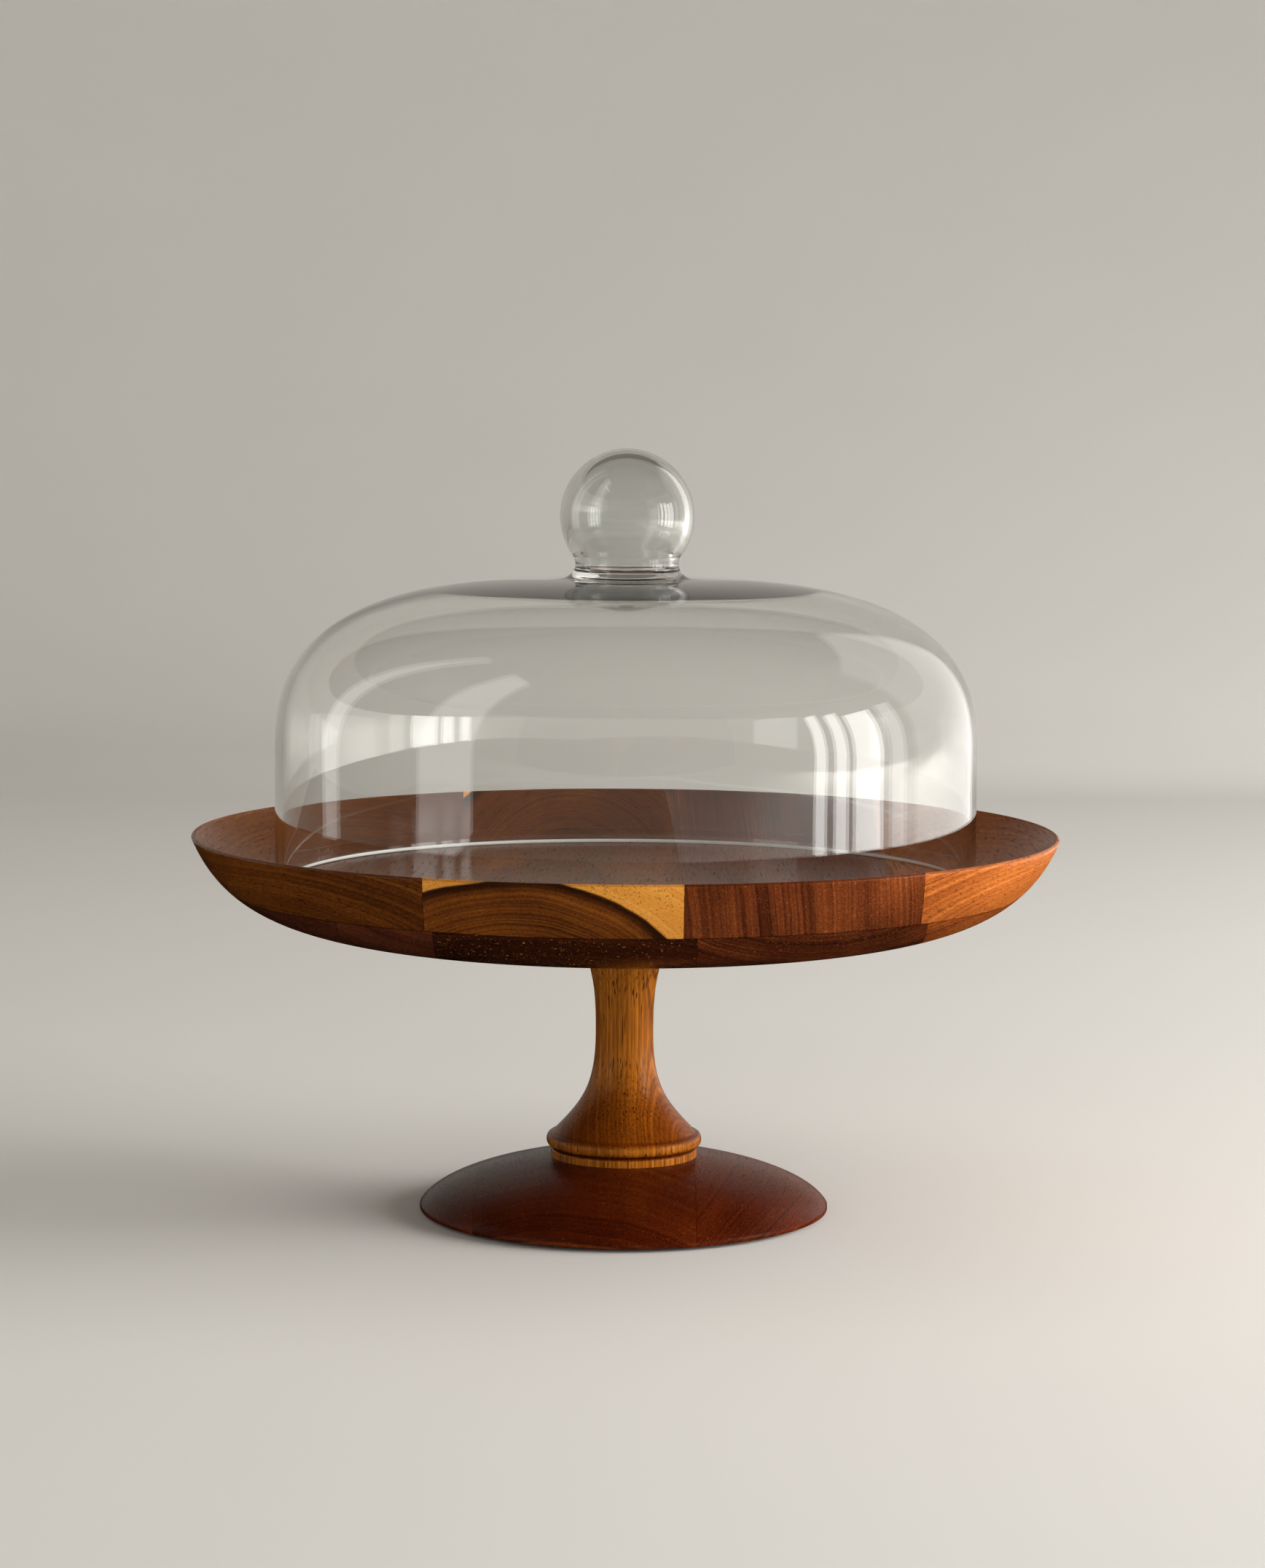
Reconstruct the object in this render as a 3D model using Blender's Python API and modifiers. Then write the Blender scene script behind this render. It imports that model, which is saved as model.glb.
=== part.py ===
# A footed display dish with a glass bell dome.
# The dish and the foot are turned from glued-up boards, the stem is turned from one piece,
# and the dome is blown glass with a hollow ball knob. The dome stands loose in the dish.
# Metres, +Z up, origin at the centre of the base, boards running along Y.

from math import asin, cos, pi, sin, sqrt

import bpy

for old in list(bpy.data.objects):
    bpy.data.objects.remove(old, do_unlink=True)
parts = bpy.data.collections.new("footed dish with bell dome")
cutters = bpy.data.collections.new("cutters")
for collection in (parts, cutters):
    bpy.context.scene.collection.children.link(collection)

# ---- driving sizes ----
CLEARANCE = 0.0003  # gap between pieces that touch

PAD_RADIUS = 0.007
PAD_THICKNESS = 0.0012
PAD_ROUND = 0.0003
PAD_INSET = 0.020  # from the foot's edge to a pad's centre
PAD_COUNT = 4

FOOT_RADIUS = 0.0784
FOOT_HEIGHT = 0.0201
FOOT_EDGE = 0.0016  # upright band round the foot's lower edge
FOOT_SHOULDER = 0.0072  # how far in from the edge the shoulder's curve turns
FOOT_SHOULDER_RISE = 0.0127
FOOT_SEAMS = (-0.0560, 0.0270)

COLLAR_RADIUS = 0.0281
COLLAR_HEIGHT = 0.0028
GROOVE_DEPTH = 0.0018
GROOVE_HEIGHT = 0.0008
BEAD_RADIUS = 0.0298
BEAD_HEIGHT = 0.0050
COLLAR_ROUND = 0.0009
WAIST_RADIUS = 0.01105
WAIST_HEIGHT = 0.0471  # above the stem's bottom face
FLARE_START_DROP = 0.0022  # step from the bead in to the flare
NECK_RADIUS = 0.0189  # the stem's top, against the dish
NECK_PULL = 0.0142  # how long the neck's curve holds its spread, below the dish
WAIST_PULL = 0.0137  # how long the stem stays near its waist, above it
FLARE_PULL = 0.0213  # the same, below the waist
FLARE_SPREAD = 0.0113  # height over which the flare runs out to the bead
FLARE_BEND = 0.0057  # how far out of the waist the flare's curve turns
STEM_HEIGHT = 0.0863

SPIGOT_RADIUS = 0.0070
SPIGOT_LENGTH = 0.0040

THREAD_RADIUS = 0.0030
THREAD_DEPTH = 0.0006
THREAD_PITCH = 0.0022
SCREW_POINT = 0.0050
DOWEL_SCREW_UP = 0.0120  # into the dish, above its underside
DOWEL_SCREW_DOWN = 0.0260  # into the stem
FOOT_SCREW_REACH = 0.0260  # into the stem, above the foot's top
SCREW_HEAD_RADIUS = 0.0058
SCREW_HEAD_HEIGHT = 0.0034
SCREW_HEAD_SINK = 0.0012  # head below the foot's underside
DRIVE_RADIUS = 0.0019
DRIVE_DEPTH = 0.0016
DRIVE_TAPER = 0.7  # the recess's bottom, as a share of its mouth

DOME_RADIUS = 0.1335
DOME_HEIGHT = 0.1157
DOME_WALL = 0.0030
CROWN_RISE = 0.0680  # height of the curved part above the straight wall
CROWN_THICKNESS = 0.0070
CROWN_WIDE_POWER = 3.13
CROWN_HIGH_POWER = 2.71
INNER_WIDE_POWER = 4.0
BOSS_RADIUS = 0.0240  # lens of thicker glass inside, under the knob
BOSS_DEPTH = 0.0038
DOME_RIM_ROUND = 0.0009

BALL_RADIUS = 0.02555
BALL_CENTRE = 0.0234  # above the crown
BALL_WALL = 0.0022
KNOB_NECK_RADIUS = 0.0205
KNOB_FLARE_RADIUS = 0.0228
KNOB_BORE_RADIUS = 0.0170
KNOB_LEAVE_ANGLE = -0.62  # radians below level, where the ball turns in to its neck
KNOB_TURN_IN = 0.0016

DOME_MARGIN = 0.0035  # from the dome's wall to the edge of the dish's flat floor
COVE_WIDTH = 0.0270
RIM_LIP = 0.0010
DISH_DEPTH = 0.0192
UPPER_LAYER = 0.0204
LOWER_LAYER = 0.0175
COVE_POWER = 1.8
BELLY_WIDTH = 0.0770  # the outer curve runs this far in from the rim
BELLY_OUT = 0.0089  # how far in from the rim its curve's first handle lies
BELLY_IN = 0.0269  # the same for its second
BELLY_HANG = 0.44  # height of the first handle, as a share of the belly's height
BELLY_FLAT = 0.01  # the same for the second
UPPER_SEAMS = (-0.0698, 0.0205, 0.1052)
LOWER_SEAMS = (-0.1023, -0.0669, 0.0253, 0.1080)

SLAB_SPARE = 0.010  # how far the cutters reach past what they cut

DISH_STEPS = 60
FOOT_STEPS = 48
STEM_STEPS = 28
DOME_STEPS = 48
KNOB_STEPS = 28
SCREW_STEPS = 12
PAD_STEPS = 20
PAD_ROUND_STEPS = 2
BELLY_POINTS = 16
COVE_POINTS = 8
FOOT_POINTS = 12
NECK_POINTS = 7
FLARE_POINTS = 11
BEAD_POINTS = 6
CROWN_POINTS = 15
INNER_CROWN_POINTS = 13
LENS_POINTS = 5
BALL_POINTS = 12
KNOB_NECK_POINTS = 6
ROUND_POINTS = 3  # in a small rounded edge

# ---- sizes that follow ----
DISH_RADIUS = DOME_RADIUS + DOME_MARGIN + COVE_WIDTH + RIM_LIP
FLOOR_RADIUS = DOME_RADIUS + DOME_MARGIN

FOOT_UNDER = PAD_THICKNESS + CLEARANCE
FOOT_TOP = FOOT_UNDER + FOOT_HEIGHT
STEM_BOTTOM = FOOT_TOP + CLEARANCE
STEM_TOP = STEM_BOTTOM + STEM_HEIGHT
DISH_UNDER = STEM_TOP + CLEARANCE
LOWER_TOP = DISH_UNDER + LOWER_LAYER
UPPER_BOTTOM = LOWER_TOP + CLEARANCE
RIM_TOP = UPPER_BOTTOM + UPPER_LAYER
FLOOR_TOP = RIM_TOP - DISH_DEPTH
DOME_BOTTOM = FLOOR_TOP + CLEARANCE
CROWN_TOP = DOME_BOTTOM + DOME_HEIGHT
KNOB_BOTTOM = CROWN_TOP + CLEARANCE

RECESS_RADIUS = SPIGOT_RADIUS + CLEARANCE
RECESS_DEPTH = SPIGOT_LENGTH + CLEARANCE
SCREW_HOLE = THREAD_RADIUS + CLEARANCE


# ---- shapes ----
def curve_points(start, leave, arrive, end, steps):
    """Points along a cubic curve, without its first one."""
    points = []
    for i in range(1, steps + 1):
        t = i / steps
        weights = ((1 - t) ** 3, 3 * (1 - t) ** 2 * t, 3 * (1 - t) * t * t, t**3)
        corners = (start, leave, arrive, end)
        points.append(tuple(sum(w * c[axis] for w, c in zip(weights, corners)) for axis in (0, 1)))
    return points


def arc_points(centre, radius, first, last, steps):
    """Points round an arc, angles in radians from +X."""
    angles = [first + (last - first) * i / steps for i in range(steps + 1)]
    return [(centre[0] + radius * cos(a), centre[1] + radius * sin(a)) for a in angles]


def split_at_height(points, height):
    """The parts of a falling line that lie above and below a height, both with the crossing."""
    for i in range(len(points) - 1):
        (r0, z0), (r1, z1) = points[i], points[i + 1]
        if z0 >= height > z1:
            t = (z0 - height) / (z0 - z1)
            crossing = (r0 + (r1 - r0) * t, height)
            return points[: i + 1] + [crossing], [crossing] + points[i + 1 :]
    return points, []


def profile_mesh(name, points, closed=False):
    """A turning profile in the XZ plane, running down its outer side."""
    mesh = bpy.data.meshes.new(name)
    edges = [(i, i + 1) for i in range(len(points) - 1)]
    if closed:
        edges.append((len(points) - 1, 0))
    mesh.from_pydata([(r, 0.0, z) for r, z in points], edges, [])
    return mesh


def turned(name, mesh, steps, material):
    """A turned solid: the profile spun round the Z axis."""
    piece = bpy.data.objects.new(name, mesh)
    parts.objects.link(piece)
    screw = piece.modifiers.new("turn", "SCREW")
    screw.axis = "Z"
    screw.angle = 2 * pi
    screw.steps = steps
    screw.render_steps = steps
    screw.use_merge_vertices = True
    screw.merge_threshold = 0.00001
    screw.use_smooth_shade = True
    paint(piece, material)
    return piece


def paint(piece, material):
    """Links the material to the object, so that pieces may share one mesh."""
    if not piece.data.materials:
        piece.data.materials.append(material)
    piece.material_slots[0].link = "OBJECT"
    piece.material_slots[0].material = material


def slab_cutter(name, left, right, reach, height):
    """An upright slab between two values of X, deep and tall enough to hold the whole turning."""
    bpy.ops.mesh.primitive_cube_add(size=1)
    cutter = bpy.context.object
    cutter.name = name
    cutter.dimensions = (right - left, 2 * reach, height + SLAB_SPARE)
    cutter.location = ((left + right) / 2, 0, height / 2)
    bpy.ops.object.transform_apply(location=False, rotation=False, scale=True)
    cutter.hide_render = True
    cutter.display_type = "WIRE"
    for collection in list(cutter.users_collection):
        collection.objects.unlink(cutter)
    cutters.objects.link(cutter)
    return cutter


def glued_boards(board_name, mesh, seams, radius, steps, materials):
    """One object a board: the same turning, kept between two glue seams."""
    reach = radius + SLAB_SPARE
    edges = (-reach, *seams, reach)
    for i in range(len(edges) - 1):
        board = turned(f"{board_name}_{i + 1}", mesh, steps, materials[i % len(materials)])
        left = edges[i] + CLEARANCE / 2
        right = edges[i + 1] - CLEARANCE / 2
        keep = board.modifiers.new("board", "BOOLEAN")
        keep.operation = "INTERSECT"
        keep.solver = "EXACT"
        keep.object = slab_cutter(f"slab_{board_name}_{i + 1}", left, right, reach, RIM_TOP)


# ---- materials ----
def material_of(name, colour, roughness, metallic=0.0, transmission=0.0):
    material = bpy.data.materials.new(name)
    material.use_nodes = True
    shader = material.node_tree.nodes["Principled BSDF"]
    shader.inputs["Base Color"].default_value = (*colour, 1)
    shader.inputs["Roughness"].default_value = roughness
    shader.inputs["Metallic"].default_value = metallic
    shader.inputs["Transmission Weight"].default_value = transmission
    return material


# ---- the pieces ----
def belly_curve():
    """The dish's outer side, from the lip round to its flat underside."""
    height = RIM_TOP - RIM_LIP - DISH_UNDER
    start = (DISH_RADIUS, RIM_TOP - RIM_LIP)
    leave = (DISH_RADIUS - BELLY_OUT, DISH_UNDER + BELLY_HANG * height)
    arrive = (DISH_RADIUS - BELLY_IN, DISH_UNDER + BELLY_FLAT * height)
    end = (DISH_RADIUS - BELLY_WIDTH, DISH_UNDER)
    return [start] + curve_points(start, leave, arrive, end, BELLY_POINTS)


def upper_layer():
    """The hollowed layer: flat floor, cove, rounded lip and the top of the belly."""
    points = [(0.0, FLOOR_TOP)]
    for i in range(COVE_POINTS + 1):
        share = i / COVE_POINTS
        radius = FLOOR_RADIUS + COVE_WIDTH * share
        points.append((radius, FLOOR_TOP + (DISH_DEPTH - RIM_LIP / 3) * share**COVE_POWER))
    lip = (DISH_RADIUS - RIM_LIP, RIM_TOP - RIM_LIP)
    points += arc_points(lip, RIM_LIP, pi / 2, 0, ROUND_POINTS)[:-1]
    above, _ = split_at_height(belly_curve(), UPPER_BOTTOM)
    return points + above + [(0.0, UPPER_BOTTOM)]


def lower_layer():
    """The layer under it, with the stem's recess and the hole for the dowel screw."""
    _, below = split_at_height(belly_curve(), LOWER_TOP)
    hole_top = DISH_UNDER + DOWEL_SCREW_UP + CLEARANCE
    recess_top = DISH_UNDER + RECESS_DEPTH
    return [
        (0.0, LOWER_TOP),
        *below,
        (RECESS_RADIUS, DISH_UNDER),
        (RECESS_RADIUS, recess_top),
        (SCREW_HOLE, recess_top),
        (SCREW_HOLE, hole_top),
        (0.0, hole_top),
    ]


def foot_layer():
    """The domed foot, bored for its screw, countersunk below and recessed for the stem above."""
    edge_top = FOOT_UNDER + FOOT_EDGE
    top = (COLLAR_RADIUS, FOOT_TOP)
    turn = (FOOT_RADIUS - FOOT_SHOULDER, FOOT_UNDER + FOOT_SHOULDER_RISE)
    edge = (FOOT_RADIUS, edge_top)
    leave = tuple(top[k] + (turn[k] - top[k]) * 2 / 3 for k in (0, 1))
    arrive = tuple(edge[k] + (turn[k] - edge[k]) * 2 / 3 for k in (0, 1))
    head_top = FOOT_UNDER + SCREW_HEAD_SINK + SCREW_HEAD_HEIGHT
    head_radius = SCREW_HEAD_RADIUS + 2 * CLEARANCE
    recess_floor = FOOT_TOP - RECESS_DEPTH
    return [
        (SCREW_HOLE, recess_floor),
        (RECESS_RADIUS, recess_floor),
        (RECESS_RADIUS, FOOT_TOP),
        top,
        *curve_points(top, leave, arrive, edge, FOOT_POINTS),
        (FOOT_RADIUS, FOOT_UNDER + CLEARANCE),
        (FOOT_RADIUS - CLEARANCE, FOOT_UNDER),
        (head_radius, FOOT_UNDER),
        (head_radius, FOOT_UNDER + SCREW_HEAD_SINK),
        (SCREW_HOLE, head_top),
    ]


def stem_profile():
    """Spigot, flared neck, waist, flare, bead, groove and collar, bored at both ends."""
    top_hole = STEM_TOP - DOWEL_SCREW_DOWN - CLEARANCE
    foot_hole = FOOT_TOP + FOOT_SCREW_REACH + CLEARANCE
    collar_top = STEM_BOTTOM + COLLAR_HEIGHT
    bead_centre = collar_top + GROOVE_HEIGHT + BEAD_HEIGHT / 2
    bead_top = collar_top + GROOVE_HEIGHT + BEAD_HEIGHT
    waist = (WAIST_RADIUS, STEM_BOTTOM + WAIST_HEIGHT)
    neck = (NECK_RADIUS, STEM_TOP)
    neck_leave = (WAIST_RADIUS + CLEARANCE, STEM_TOP - NECK_PULL)
    neck_arrive = (WAIST_RADIUS, waist[1] + WAIST_PULL)
    flare_end = (BEAD_RADIUS - FLARE_START_DROP, bead_top)
    flare_leave = (WAIST_RADIUS, waist[1] - FLARE_PULL)
    flare_arrive = (WAIST_RADIUS + FLARE_BEND, bead_top + FLARE_SPREAD)
    bead = []
    for i in range(1, BEAD_POINTS + 1):
        angle = pi / 2 - pi * i / BEAD_POINTS
        across = BEAD_RADIUS - GROOVE_DEPTH * (1 - cos(angle))
        bead.append((across, bead_centre + BEAD_HEIGHT / 2 * sin(angle)))
    groove_bottom = (BEAD_RADIUS - 2 * GROOVE_DEPTH, collar_top + GROOVE_HEIGHT / 2)
    collar_centre = (COLLAR_RADIUS - COLLAR_ROUND, collar_top - COLLAR_ROUND)
    collar_round = arc_points(collar_centre, COLLAR_ROUND, pi / 2, 0, ROUND_POINTS)
    collar = [groove_bottom, *collar_round, (COLLAR_RADIUS, STEM_BOTTOM)]
    return [
        (0.0, top_hole),
        (SCREW_HOLE, top_hole),
        (SCREW_HOLE, STEM_TOP + SPIGOT_LENGTH),
        (SPIGOT_RADIUS, STEM_TOP + SPIGOT_LENGTH),
        (SPIGOT_RADIUS, STEM_TOP),
        neck,
        *curve_points(neck, neck_leave, neck_arrive, waist, NECK_POINTS),
        *curve_points(waist, flare_leave, flare_arrive, flare_end, FLARE_POINTS),
        *bead,
        *collar,
        (SPIGOT_RADIUS, STEM_BOTTOM),
        (SPIGOT_RADIUS, STEM_BOTTOM - SPIGOT_LENGTH),
        (SCREW_HOLE, STEM_BOTTOM - SPIGOT_LENGTH),
        (SCREW_HOLE, foot_hole),
        (0.0, foot_hole),
    ]


def thread_down(top, bottom):
    """Ridges of a wood thread, from a height down to a lower one."""
    count = max(2, int((top - bottom) / THREAD_PITCH))
    pitch = (top - bottom) / count
    points = []
    for i in range(count):
        crest = top - (i + 0.5) * pitch
        points.append((THREAD_RADIUS - THREAD_DEPTH, crest + pitch / 2))
        points.append((THREAD_RADIUS, crest))
    points.append((THREAD_RADIUS - THREAD_DEPTH, bottom))
    return points


def dowel_screw_profile():
    """A double-ended wood screw, pointed at both ends, that holds the dish on the stem."""
    top = DISH_UNDER + DOWEL_SCREW_UP
    bottom = STEM_TOP - DOWEL_SCREW_DOWN
    ridges = thread_down(top - SCREW_POINT / 2, bottom + SCREW_POINT)
    return [(0.0, top), *ridges, (0.0, bottom)]


def foot_screw_profile():
    """A countersunk wood screw from below, with a round drive recess in its head."""
    head_bottom = FOOT_UNDER + SCREW_HEAD_SINK
    head_top = head_bottom + SCREW_HEAD_HEIGHT - 2 * CLEARANCE
    top = FOOT_TOP + FOOT_SCREW_REACH
    ridges = thread_down(top - SCREW_POINT, FOOT_TOP)
    core = THREAD_RADIUS - THREAD_DEPTH
    return [
        (0.0, top),
        *ridges,
        (core, head_top),
        (SCREW_HEAD_RADIUS, head_bottom + CLEARANCE),
        (SCREW_HEAD_RADIUS, head_bottom),
        (DRIVE_RADIUS, head_bottom),
        (DRIVE_RADIUS * DRIVE_TAPER, head_bottom + DRIVE_DEPTH),
        (0.0, head_bottom + DRIVE_DEPTH),
    ]


def crown_curve(radius, top, rise, wide_power, high_power, steps):
    """A flat-topped dome's outline, from its centre out to the top of its straight wall."""
    points = []
    for i in range(steps + 1):
        angle = pi / 2 * i / steps
        across = radius * sin(angle) ** (2 / wide_power) if i else 0.0
        up = rise * max(cos(angle), 0.0) ** (2 / high_power) if i < steps else 0.0
        points.append((across, top - rise + up))
    return points


def dome_profile():
    """The bell: crown, wall, rounded rim, inner wall, inner crown and the lens under the knob."""
    outer = crown_curve(
        DOME_RADIUS, CROWN_TOP, CROWN_RISE, CROWN_WIDE_POWER, CROWN_HIGH_POWER, CROWN_POINTS
    )
    inner_top = CROWN_TOP - CROWN_THICKNESS
    inner_rise = CROWN_RISE - CROWN_THICKNESS
    inner_radius = DOME_RADIUS - DOME_WALL
    inner = crown_curve(
        inner_radius, inner_top, inner_rise, INNER_WIDE_POWER, CROWN_HIGH_POWER, INNER_CROWN_POINTS
    )
    flat = [point for point in inner if point[0] > BOSS_RADIUS]
    lens = []
    for i in range(LENS_POINTS):
        share = i / LENS_POINTS
        lens.append((BOSS_RADIUS * share, inner_top - BOSS_DEPTH * (1 + cos(pi * share)) / 2))
    low = DOME_BOTTOM + DOME_RIM_ROUND
    outer_centre = (DOME_RADIUS - DOME_RIM_ROUND, low)
    inner_centre = (inner_radius + DOME_RIM_ROUND, low)
    outer_round = arc_points(outer_centre, DOME_RIM_ROUND, 0, -pi / 2, ROUND_POINTS)
    inner_round = arc_points(inner_centre, DOME_RIM_ROUND, -pi / 2, -pi, ROUND_POINTS)
    return outer + outer_round + inner_round + flat[::-1] + lens[::-1]


def knob_profile():
    """A hollow ball on a short flared neck, open below where it sits on the crown."""
    centre = CROWN_TOP + BALL_CENTRE
    outer = arc_points((0.0, centre), BALL_RADIUS, pi / 2, KNOB_LEAVE_ANGLE, BALL_POINTS)
    start = outer[-1]
    end = (KNOB_FLARE_RADIUS, KNOB_BOTTOM)
    third = (start[1] - end[1]) / 3
    leave = (start[0] - KNOB_TURN_IN, start[1] - third)
    arrive = (KNOB_NECK_RADIUS - KNOB_TURN_IN, end[1] + third)
    outer += curve_points(start, leave, arrive, end, KNOB_NECK_POINTS)
    inner_radius = BALL_RADIUS - BALL_WALL
    bore_height = centre - sqrt(inner_radius**2 - KNOB_BORE_RADIUS**2)
    bore_angle = asin(KNOB_BORE_RADIUS / inner_radius) - pi / 2
    inner = arc_points((0.0, centre), inner_radius, bore_angle, pi / 2, BALL_POINTS)
    return [*outer, (KNOB_BORE_RADIUS, KNOB_BOTTOM), (KNOB_BORE_RADIUS, bore_height), *inner[1:]]


def add_pads(material):
    """Thin rubber pads under the foot."""
    ring = FOOT_RADIUS - PAD_INSET
    for i in range(PAD_COUNT):
        angle = pi / PAD_COUNT + 2 * pi * i / PAD_COUNT
        bpy.ops.mesh.primitive_cylinder_add(
            vertices=PAD_STEPS,
            radius=PAD_RADIUS,
            depth=PAD_THICKNESS,
            location=(ring * cos(angle), ring * sin(angle), PAD_THICKNESS / 2),
        )
        pad = bpy.context.object
        pad.name = f"foot_pad_{i + 1}"
        bevel = pad.modifiers.new("soft edge", "BEVEL")
        bevel.width = PAD_ROUND
        bevel.segments = PAD_ROUND_STEPS
        for collection in list(pad.users_collection):
            collection.objects.unlink(pad)
        parts.objects.link(pad)
        paint(pad, material)


# ---- the assembly ----
dark_wood = material_of("dark wood", (0.16, 0.055, 0.022), 0.38)
red_wood = material_of("red wood", (0.23, 0.085, 0.032), 0.38)
golden_wood = material_of("golden wood", (0.42, 0.20, 0.07), 0.38)
clear_glass = material_of("clear glass", (0.96, 0.98, 0.97), 0.02, transmission=1.0)
steel = material_of("zinc-plated steel", (0.62, 0.62, 0.60), 0.35, metallic=1.0)
soft_rubber = material_of("rubber", (0.05, 0.05, 0.05), 0.8)

upper_mesh = profile_mesh("upper layer", upper_layer())
lower_mesh = profile_mesh("lower layer", lower_layer())
foot_mesh = profile_mesh("foot layer", foot_layer(), closed=True)
glued_boards(
    "dish_upper_board", upper_mesh, UPPER_SEAMS, DISH_RADIUS, DISH_STEPS, (dark_wood, golden_wood)
)
glued_boards(
    "dish_lower_board", lower_mesh, LOWER_SEAMS, DISH_RADIUS, DISH_STEPS, (red_wood, dark_wood)
)
glued_boards("foot_board", foot_mesh, FOOT_SEAMS, FOOT_RADIUS, FOOT_STEPS, (dark_wood, red_wood))
turned("stem", profile_mesh("stem profile", stem_profile()), STEM_STEPS, golden_wood)
turned("dowel_screw", profile_mesh("dowel screw", dowel_screw_profile()), SCREW_STEPS, steel)
turned("foot_screw", profile_mesh("foot screw", foot_screw_profile()), SCREW_STEPS, steel)
add_pads(soft_rubber)

# The dome and its knob lift off together, along the axis that their empty stands on.
dome_axis = bpy.data.objects.new("dome_axis", None)
dome_axis.location = (0, 0, DOME_BOTTOM)
parts.objects.link(dome_axis)
glass_dome = turned("glass_dome", profile_mesh("dome profile", dome_profile()), DOME_STEPS, clear_glass)
ball_knob = turned("ball_knob", profile_mesh("knob profile", knob_profile()), KNOB_STEPS, clear_glass)
for piece in (glass_dome, ball_knob):
    piece.parent = dome_axis
    piece.matrix_parent_inverse = dome_axis.matrix_basis.inverted()
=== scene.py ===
# A footed wooden dish with a glass bell dome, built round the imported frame.
# Metres, +Z up. The boards run along Y, front to back, and everything is turned about the Z axis.

from math import cos, hypot, pi, radians, sin

import bpy
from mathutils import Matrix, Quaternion, Vector


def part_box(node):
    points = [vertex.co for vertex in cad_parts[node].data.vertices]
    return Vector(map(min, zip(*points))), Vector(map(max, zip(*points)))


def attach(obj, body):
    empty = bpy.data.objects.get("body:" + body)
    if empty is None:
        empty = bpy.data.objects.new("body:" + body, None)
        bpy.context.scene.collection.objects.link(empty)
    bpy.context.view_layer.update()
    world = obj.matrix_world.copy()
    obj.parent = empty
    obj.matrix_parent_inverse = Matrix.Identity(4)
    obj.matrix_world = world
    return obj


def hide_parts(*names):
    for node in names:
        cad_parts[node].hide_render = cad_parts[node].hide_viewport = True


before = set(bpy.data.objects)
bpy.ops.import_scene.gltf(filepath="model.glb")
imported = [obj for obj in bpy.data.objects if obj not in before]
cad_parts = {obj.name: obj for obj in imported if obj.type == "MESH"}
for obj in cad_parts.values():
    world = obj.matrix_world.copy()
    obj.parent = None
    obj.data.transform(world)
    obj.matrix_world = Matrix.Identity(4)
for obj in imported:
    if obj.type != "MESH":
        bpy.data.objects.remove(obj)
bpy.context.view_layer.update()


# how the bench works

bench = {
    "mergeWithin": 0.000002,
    "smoothBelow": 40,  # degrees between faces
}


def letGo():
    bpy.ops.object.select_all(action="DESELECT")


def pickUp(piece):
    letGo()
    piece.select_set(True)
    bpy.context.view_layer.objects.active = piece


def curveBetween(start, leave, arrive, end, count):  # leaves out its first point
    points = []
    for i in range(1, count + 1):
        t = i / count
        shares = ((1 - t) ** 3, 3 * (1 - t) ** 2 * t, 3 * (1 - t) * t * t, t**3)
        corners = (start, leave, arrive, end)
        points.append(tuple(sum(s * c[k] for s, c in zip(shares, corners)) for k in (0, 1)))
    return points


def arcRound(centre, radius, first, last, count):  # degrees from +X
    points = []
    for i in range(count + 1):
        angle = radians(first + (last - first) * i / count)
        points.append((centre[0] + radius * cos(angle), centre[1] + radius * sin(angle)))
    return points


def cutAtHeight(points, height):  # a falling outline, split in two at a height
    for i in range(len(points) - 1):
        (r0, z0), (r1, z1) = points[i], points[i + 1]
        if z0 >= height > z1:
            crossing = (r0 + (r1 - r0) * (z0 - height) / (z0 - z1), height)
            return points[: i + 1] + [crossing], [crossing] + points[i + 1 :]
    return points, []


def turnOnLathe(name, outline, steps):  # spins an outline of (radius, height) points round Z
    letGo()
    bpy.ops.mesh.primitive_plane_add(size=0.01)
    piece = bpy.context.object
    piece.name = name
    bpy.ops.object.mode_set(mode="EDIT")
    bpy.ops.mesh.merge(type="CENTER")
    bpy.ops.transform.translate(value=(outline[0][0], 0, outline[0][1]))
    for (r0, z0), (r1, z1) in zip(outline, outline[1:]):
        move = {"value": (r1 - r0, 0, z1 - z0)}
        bpy.ops.mesh.extrude_vertices_move(TRANSFORM_OT_translate=move)
    bpy.ops.mesh.select_all(action="SELECT")
    bpy.ops.mesh.spin(steps=steps, angle=2 * pi, center=(0, 0, 0), axis=(0, 0, 1))
    bpy.ops.mesh.select_all(action="SELECT")
    bpy.ops.mesh.remove_doubles(threshold=bench["mergeWithin"])
    bpy.ops.mesh.normals_make_consistent(inside=False)
    bpy.ops.object.mode_set(mode="OBJECT")
    return piece


def sawBoard(piece, left, right):  # keeps what lies between two glue seams
    pickUp(piece)
    bpy.ops.object.mode_set(mode="EDIT")
    for seam, side in ((left, 1), (right, -1)):
        if seam is not None:
            bpy.ops.mesh.select_all(action="SELECT")
            bpy.ops.mesh.bisect(
                plane_co=(seam, 0, 0), plane_no=(side, 0, 0), use_fill=True, clear_inner=True
            )
    bpy.ops.mesh.select_all(action="SELECT")
    bpy.ops.mesh.remove_doubles(threshold=bench["mergeWithin"])
    bpy.ops.mesh.normals_make_consistent(inside=False)
    bpy.ops.object.mode_set(mode="OBJECT")


def finishPiece(piece, body, nodes, material, sharpest=bench["smoothBelow"]):
    pickUp(piece)
    bpy.ops.object.shade_smooth_by_angle(angle=radians(sharpest))
    piece.data.materials.clear()
    piece.data.materials.append(material)
    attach(piece, body)
    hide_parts(*nodes)


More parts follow.
